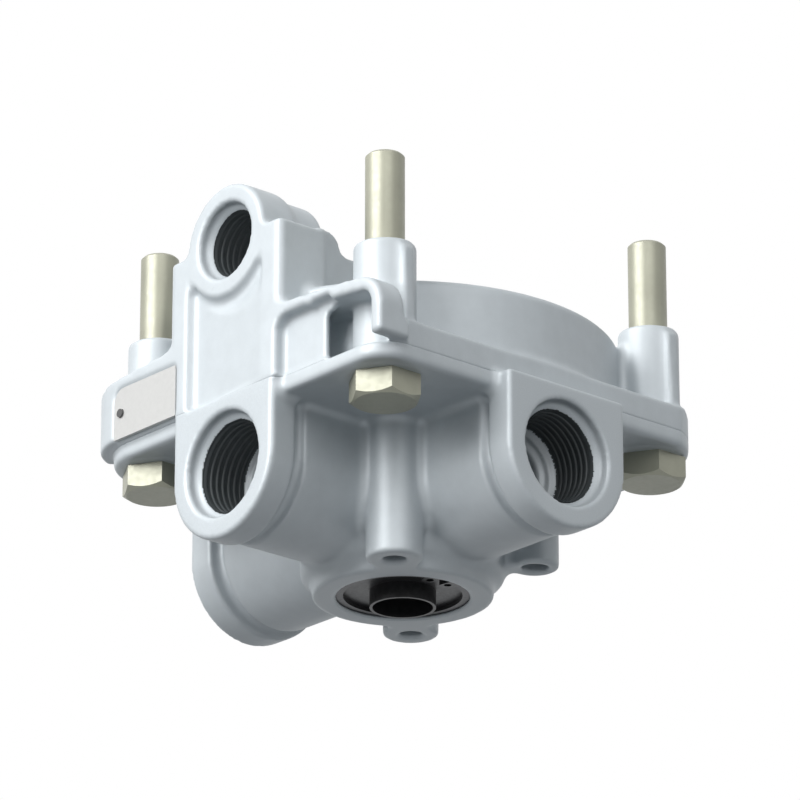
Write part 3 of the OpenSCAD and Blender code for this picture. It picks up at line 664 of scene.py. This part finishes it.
def thread(way, centre_z, start, end, bore, height):
    """Sheet of a thread inside a port that opens along way.

    At angle a and distance s from the axis the radius is the bore's less height times a
    ridge, where the ridge is a clipped triangle wave of s / pitch - a / full turn. At both
    ends it sinks behind the wall of the bore. The faces look at the port's axis."""
    sides, per_pitch = 72, 10
    rows = int((end - start) / THREAD_PITCH * per_pitch)
    root, flank, sunk = 0.3, 0.4, 0.06
    s = np.linspace(start, end, rows + 1)[:, None]
    a = np.linspace(0, 2 * np.pi, sides, endpoint=False)[None, :]
    wave = abs(2 * ((s / THREAD_PITCH - a / (2 * np.pi)) % 1) - 1)
    ridge = np.clip((wave - root) / flank, 0, 1)
    fade = np.clip(np.minimum(s - start, end - s) / THREAD_PITCH, 0, 1)
    r = bore + sunk - (height + sunk) * ridge * fade
    side = np.array([-way[1], way[0], 0.0])
    v = (s[..., None] * np.array([*way, 0.0]) + (r * np.cos(a))[..., None] * side
         + (r * np.sin(a))[..., None] * np.array([0, 0, 1.0]))
    v[..., 2] += centre_z
    return v.reshape(-1, 3), tube_quads(rows, sides)


class VALVE_OT_castings(bpy.types.Operator):
    """Builds both castings with the fillets of the mould and rounded outer edges."""
    bl_idname = "valve.castings"
    bl_label = "Castings"

    def execute(self, context):
        s = context.scene.valve_castings
        h, fillet, edge, joint = s.cell / MM, s.fillet / MM, s.edge / MM, s.joint / MM
        field = Field(h, *FIELD_BLOCK)
        x, y, z = field.axes()
        axis_r = np.sqrt(x * x + y * y)
        inner, sharp = sharp_zones(x, y, z, axis_r)
        raw = {}
        for name in HOUSINGS:
            v, t = mesh_arrays(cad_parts[name])
            raw[name] = field.from_mesh(v, t, np.zeros((0, 4), np.int32), fillet + 3 * h)
        lower = set_back_lower(raw["lower_housing"], x, y, z, s)
        upper = set_back_upper(raw["upper_housing"], x, y, z, axis_r, s)
        raw = {"upper_housing": upper.astype(np.float32), "lower_housing": lower.astype(np.float32)}
        soft = [np.where(sharp, value, field.closed(value, fillet)) for value in raw.values()]
        joined = field.closed(np.minimum(*soft), edge)
        rounded = np.where(inner, np.minimum(*raw.values()), field.opened(joined, edge))

        # The upper skin runs a little past the joint, inside the lower one, so that no gap shows.
        lap, inset, margin = 0.4, 0.02, 0.01
        lapped = np.where(z < joint - margin, rounded + inset, rounded)
        # The third material is the near-black painted shade on the threads inside the ports.
        materials = (cast_material(s), machined_material("machined_alloy", s.machined, 0.4),
                     machined_material("threads_painted_shade", s.bore, 0.5))
        for name, outer, side in (("upper_housing", lapped, joint - lap - z),
                                  ("lower_housing", rounded, z - joint)):
            value = np.maximum(np.where(inner, raw[name], outer), side).astype(np.float32)
            self.skin(name, field, value, s.triangles, materials)
        self.threads(materials[2])
        return {"FINISHED"}

    def skin(self, name, field, value, most, materials):
        """The visible surface of one casting, which stands for its solid."""
        v, t, q = field.skin(value)
        obj = new_object(name + "_skin", v, [f for f in (q, t) if len(f)])
        count = 2 * len(q) + len(t)
        if count > most:
            mod = obj.modifiers.new("fewer", "DECIMATE")
            mod.ratio = most / count
            baked(obj)
        smooth(obj)
        me = obj.data
        normals = field.slope(value, read(me.vertices, "co").astype(np.float64) / MM)
        me.normals_split_custom_set_from_vertices(normals.tolist())
        for mat in materials:
            me.materials.append(mat)
        slots = face_slots(*(read(me.polygons, "center") / MM).T)
        me.polygons.foreach_set("material_index", slots)
        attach(obj, "housing")
        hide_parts(name)

    def threads(self, mat):
        """The threads of the three large ports and of the control port, in one piece, near black as
        painted shade of the deep bores.
        """
        start, verts, quads = 0, [], []
        for port in THREADS:
            v, q = thread(*port)
            verts.append(v)
            quads.append(q + start)
            start += len(v)
        obj = new_object("port_threads", np.concatenate(verts), [np.concatenate(quads)])
        smooth(obj)
        obj.data.materials.append(mat)
        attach(obj, "housing")


class VALVE_OT_bolts(bpy.types.Operator):
    """Dresses the four bolts: small edge rounding and pale yellow zinc."""
    bl_idname = "valve.bolts"
    bl_label = "Bolts"

    def execute(self, context):
        s = context.scene.valve_metal
        zinc = metal_material("zinc_bolt", s.zinc, 0.42, waves=900, depth=0.004, metallic=0.4)
        round_edges(dress("mounting_bolts", zinc), s.head_edge)
        return {"FINISHED"}


class VALVE_OT_exhaust(bpy.types.Operator):
    """Dresses the guide, the valve tube, the snap ring and the seals."""
    bl_idname = "valve.exhaust"
    bl_label = "Exhaust parts"

    def execute(self, context):
        dark, metal = context.scene.valve_dark, context.scene.valve_metal
        plastic = dark_material("black_plastic", dark.plastic, 0.38)
        rubber = dark_material("seal_rubber", dark.rubber, 0.6)
        black = metal_material("dark_steel", metal.ring, 0.35)
        for node in ("valve_guide", "valve_tube"):
            round_edges(dress(node, plastic), dark.edge)
        for node in ("guide_outer_seal", "guide_inner_seal", "housing_seal", "piston_seal",
                     "valve_disc"):
            dress(node, rubber)
        round_edges(dress("snap_ring", black), metal.ring_edge, segments=2)
        return {"FINISHED"}


class VALVE_OT_inner(bpy.types.Operator):
    """Dresses the piston and the sheet-metal retainers, and winds the spring."""
    bl_idname = "valve.inner"
    bl_label = "Inner parts"

    def execute(self, context):
        metal = context.scene.valve_metal
        turned = metal_material("turned_alloy", metal.turned, 0.3)
        round_edges(dress("relay_piston", turned), metal.turned_edge, segments=2)
        self.spring(context.scene.valve_spring, metal_material("spring_steel", metal.steel, 0.28))
        plated = metal_material("plated_steel", metal.steel, 0.33)
        for node in ("disc_retainer", "seal_retainer"):
            dress(node, plated)
        return {"FINISHED"}

    def spring(self, s, mat):
        """The valve's spring as one rigid coil that goes with the valve."""
        radius, low, high = s.wire / MM / 2, s.spring_low / MM, s.spring_high / MM
        v, faces = coil(s.spring_radius / MM, radius, low + radius, high - radius, s.spring_turns)
        spring = new_object("spring_coil", v, faces)
        smooth(spring)
        spring.data.materials.append(mat)
        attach(spring, "valve")
        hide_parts("valve_spring")
        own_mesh(spring)


class VALVE_OT_plate(bpy.types.Operator):
    """Dresses the name plate and the pin that holds it."""
    bl_idname = "valve.plate"
    bl_label = "Name plate"

    def execute(self, context):
        s = context.scene.valve_metal
        foil = foil_material("plate_foil", s.plate)
        round_edges(dress("name_plate", foil), s.plate_edge, segments=2)
        pin = metal_material("pin_steel", s.pin, 0.35)
        round_edges(dress("name_plate_pin", pin), s.turned_edge, segments=2)
        return {"FINISHED"}


class VALVE_OT_stage(bpy.types.Operator):
    """Sets the camera, the floor, the lamps and the light from all around."""
    bl_idname = "valve.stage"
    bl_label = "Stage"

    def execute(self, context):
        s, scene = context.scene.valve_stage, context.scene
        az, el = s.azimuth, s.elevation
        back = Vector((math.sin(az) * math.cos(el), -math.cos(az) * math.cos(el), math.sin(el)))
        right = Vector((math.cos(az), math.sin(az), 0))
        self.camera(scene, s, back, right)
        self.floor(s)
        self.lamps(scene, s, back, right)
        self.world(scene, s)
        scene.view_settings.view_transform = "Standard"
        return {"FINISHED"}

    def camera(self, scene, s, back, right):
        """Camera that looks against back, shifted to its right and upward."""
        cam = bpy.data.cameras.new("camera")
        cam.lens = s.lens
        cam.sensor_width = 36
        cam.clip_start, cam.clip_end = 0.05, 30
        cam.dof.use_dof = False
        eye = bpy.data.objects.new("camera", cam)
        scene.collection.objects.link(eye)
        up = back.cross(right)
        turn = Matrix((right, up, back)).transposed().to_4x4()
        place = back * s.distance + right * s.side + up * s.rise
        eye.matrix_world = Matrix.Translation(place) @ turn
        scene.camera = eye

    def floor(self, s):
        """Square floor, pale as it is seen and darker for the light that it sends back."""
        half = 12.0
        corners = np.array([[x * half, y * half, s.floor]
                            for x, y in ((-1, -1), (1, -1), (1, 1), (-1, 1))])
        floor = new_object("studio_floor", corners, [np.array([[0, 1, 2, 3]])], 1.0)
        mat, tree, shader = principled("studio_floor")
        seen = seen_ray(tree)
        colour = tree.nodes.new("ShaderNodeMix")
        colour.data_type = "RGBA"
        colour.inputs["A"].default_value = (*s.floor_shade, 1)
        colour.inputs["B"].default_value = (*s.floor_colour, 1)
        tree.links.new(seen, colour.inputs["Factor"])
        tree.links.new(colour.outputs["Result"], shader.inputs["Base Color"])
        glow = tree.nodes.new("ShaderNodeMath")
        glow.operation = "MULTIPLY"
        glow.inputs[1].default_value = s.floor_glow
        tree.links.new(seen, glow.inputs[0])
        tree.links.new(glow.outputs[0], shader.inputs["Emission Strength"])
        shader.inputs["Emission Color"].default_value = (1, 1, 1, 1)
        shader.inputs["Roughness"].default_value = 0.9
        shader.inputs["Specular IOR Level"].default_value = 0.1
        floor.data.materials.append(mat)

    def lamps(self, scene, s, back, right):
        """Two round lamps that look at the middle of the valve."""
        target = Vector((0, 0, 0.035))
        # Each lamp's metres to the right, toward the camera and upward, its width and its power.
        lamps = {"key": (-0.85, 0.7, 0.8, 1.1, s.key), "fill": (0.3, 1.1, 0.85, 0.9, s.fill)}
        for name, (across, near, height, width, power) in lamps.items():
            light = bpy.data.lights.new(name, "AREA")
            light.shape = "DISK"
            light.size = width
            light.energy = power
            lamp = bpy.data.objects.new(name, light)
            scene.collection.objects.link(lamp)
            place = right * across + back * near + Vector((0, 0, height))
            turn = (place - target).normalized().to_track_quat("Z", "Y")
            lamp.matrix_world = Matrix.Translation(place) @ turn.to_matrix().to_4x4()

    def world(self, scene, s):
        """Soft light from all around, and plain white where the sky itself is seen."""
        world = bpy.data.worlds.new("studio")
        scene.world = world
        world.use_nodes = True
        tree = world.node_tree
        tree.nodes.clear()
        out = tree.nodes.new("ShaderNodeOutputWorld")
        mix = tree.nodes.new("ShaderNodeMixShader")
        tree.links.new(seen_ray(tree), mix.inputs["Fac"])
        skies = ((1, (0.93, 0.97, 1, 1), s.sky), (2, (1, 1, 1, 1), 1.0))
        for place, colour, strength in skies:
            node = tree.nodes.new("ShaderNodeBackground")
            node.inputs["Color"].default_value = colour
            node.inputs["Strength"].default_value = strength
            tree.links.new(node.outputs[0], mix.inputs[place])
        tree.links.new(mix.outputs[0], out.inputs["Surface"])


class VALVE_PT_panel(bpy.types.Panel):
    """Sizes, colours and buttons of the relay valve."""
    bl_idname = "VALVE_PT_panel"
    bl_label = "Relay valve"
    bl_space_type = "VIEW_3D"
    bl_region_type = "UI"
    bl_category = "Relay valve"

    def draw(self, context):
        for group, steps in GROUPS.items():
            box = self.layout.box()
            settings = getattr(context.scene, group)
            for name in settings.__annotations__:
                box.prop(settings, name)
            for step in steps:
                box.operator(step)


GROUPS = {
    "valve_castings": ("valve.castings",),
    "valve_metal": ("valve.bolts", "valve.plate"),
    "valve_spring": ("valve.inner",),
    "valve_dark": ("valve.exhaust",),
    "valve_stage": ("valve.stage",),
}
SETTING_CLASSES = (CastingSettings, MetalSettings, SpringSettings, DarkSettings, StageSettings)
CLASSES = SETTING_CLASSES + (VALVE_OT_castings, VALVE_OT_bolts, VALVE_OT_exhaust, VALVE_OT_inner,
                             VALVE_OT_plate, VALVE_OT_stage, VALVE_PT_panel)


def register():
    """Registers the classes and hangs the settings on the scene."""
    for cls in CLASSES:
        bpy.utils.register_class(cls)
    for group, cls in zip(GROUPS, SETTING_CLASSES):
        setattr(bpy.types.Scene, group, bpy.props.PointerProperty(type=cls))


def unregister():
    """Takes the settings and the classes away again."""
    for group in GROUPS:
        delattr(bpy.types.Scene, group)
    for cls in reversed(CLASSES):
        bpy.utils.unregister_class(cls)


def main():
    """Builds every piece and the stage."""
    register()
    bpy.ops.valve.castings()
    bpy.ops.valve.bolts()
    bpy.ops.valve.exhaust()
    bpy.ops.valve.inner()
    bpy.ops.valve.plate()
    bpy.ops.valve.stage()


if __name__ == "__main__":
    main()
